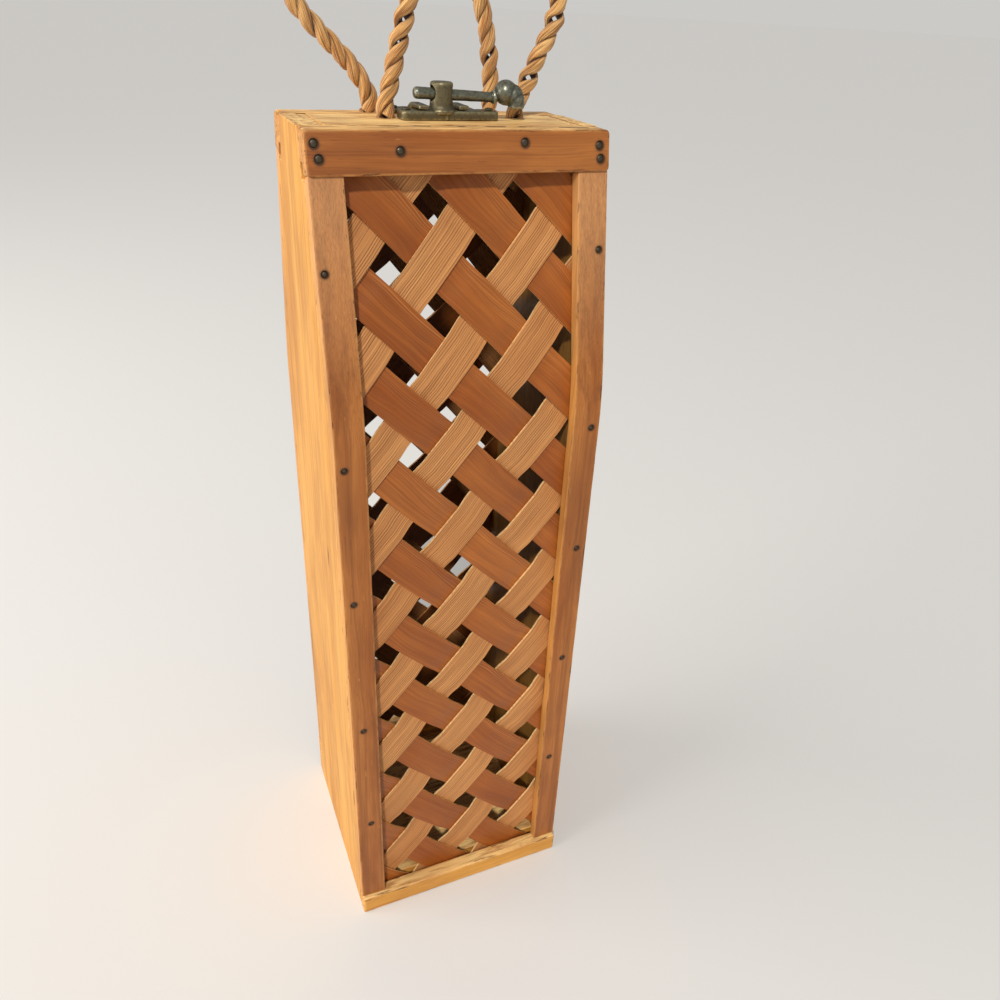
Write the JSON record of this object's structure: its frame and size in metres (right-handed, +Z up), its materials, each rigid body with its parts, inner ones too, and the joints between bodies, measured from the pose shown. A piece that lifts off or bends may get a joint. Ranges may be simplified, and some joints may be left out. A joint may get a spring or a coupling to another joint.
{
  "type": "wine bottle carrier",
  "caption": "Tall wooden bottle case with woven strip panels front and rear, a slide latch on top, a rear door hinged at its foot and rope handles.",
  "frame": {"origin": "centre of the underside of the bottom board, which the carrier stands on", "axes": "+Z up, -Y towards the woven front that is seen first, +Y towards the hinged rear door, +X to the right seen from the front"},
  "size_m": [0.109, 0.1062, 0.4412],
  "materials": {
    "golden_softwood": "golden stained softwood with a straight dark grain, satin, sawn edges a little rough",
    "stained_frame": "orange-brown stained wood, satin, edges worn round",
    "smooth_strip": "smooth reddish brown veneer strip, satin",
    "ridged_strip": "paler veneer strip with fine raised ridges along the grain",
    "jute_rope": "laid two-strand plant-fibre rope, matt, lightly hairy",
    "aged_bronze": "aged bronze with a dark greenish brown patina, rubbed bright on the ball",
    "hinge_brass": "dull aged brass"
  },
  "bodies": {
    "case": {"left_side_board": "golden_softwood", "right_side_board": "golden_softwood", "bottom_board": "golden_softwood", "top_board": "golden_softwood", "front_top_rail": "stained_frame", "front_foot_rail": "golden_softwood", "front_left_batten": "stained_frame", "front_right_batten": "stained_frame", "front_falling_strip_1": "smooth_strip", "front_falling_strip_2": "smooth_strip", "front_falling_strip_3": "smooth_strip", "front_falling_strip_4": "smooth_strip", "front_falling_strip_5": "smooth_strip", "front_falling_strip_6": "smooth_strip", "front_falling_strip_7": "smooth_strip", "front_falling_strip_8": "smooth_strip", "front_falling_strip_9": "smooth_strip", "front_falling_strip_10": "smooth_strip", "front_falling_strip_11": "smooth_strip", "front_falling_strip_12": "smooth_strip", "front_falling_strip_13": "smooth_strip", "front_rising_strip_1": "ridged_strip", "front_rising_strip_2": "ridged_strip", "front_rising_strip_3": "ridged_strip", "front_rising_strip_4": "ridged_strip", "front_rising_strip_5": "ridged_strip", "front_rising_strip_6": "ridged_strip", "front_rising_strip_7": "ridged_strip", "front_rising_strip_8": "ridged_strip", "front_rising_strip_9": "ridged_strip", "front_rising_strip_10": "ridged_strip", "front_rising_strip_11": "ridged_strip", "rear_foot_rail": "golden_softwood", "hinge_left_lower_leaf": "hinge_brass", "hinge_left_pin": "hinge_brass", "hinge_right_lower_leaf": "hinge_brass", "hinge_right_pin": "hinge_brass", "latch_front_plate": "aged_bronze", "latch_plate_screw_1": "aged_bronze", "latch_plate_screw_2": "aged_bronze", "front_rope_handle": "jute_rope", "front_rope_left_knot": "jute_rope", "front_rope_right_knot": "jute_rope"},
    "door": {"door_top_rail": "stained_frame", "door_foot_rail": "golden_softwood", "door_left_stile": "stained_frame", "door_right_stile": "stained_frame", "door_weave": "ridged_strip", "hinge_left_upper_leaf": "hinge_brass", "hinge_right_upper_leaf": "hinge_brass", "latch_keeper": "aged_bronze", "latch_keeper_screw_1": "aged_bronze", "latch_keeper_screw_2": "aged_bronze", "rear_rope_handle": "jute_rope", "rear_rope_left_end": "jute_rope", "rear_rope_right_end": "jute_rope"},
    "bolt": {"latch_bolt": "aged_bronze"}
  },
  "joints": [
    {"name": "door_hinge", "type": "hinge", "parent": "case", "child": "door", "pos_m": [0, 0.05306, 0.01075], "axis": [-1, 0, 0], "range_deg": [0, 90]},
    {"name": "bolt_slide", "type": "slide", "parent": "case", "child": "bolt", "axis": [1, 0, 0], "range_m": [0, 0.012]}
  ]
}
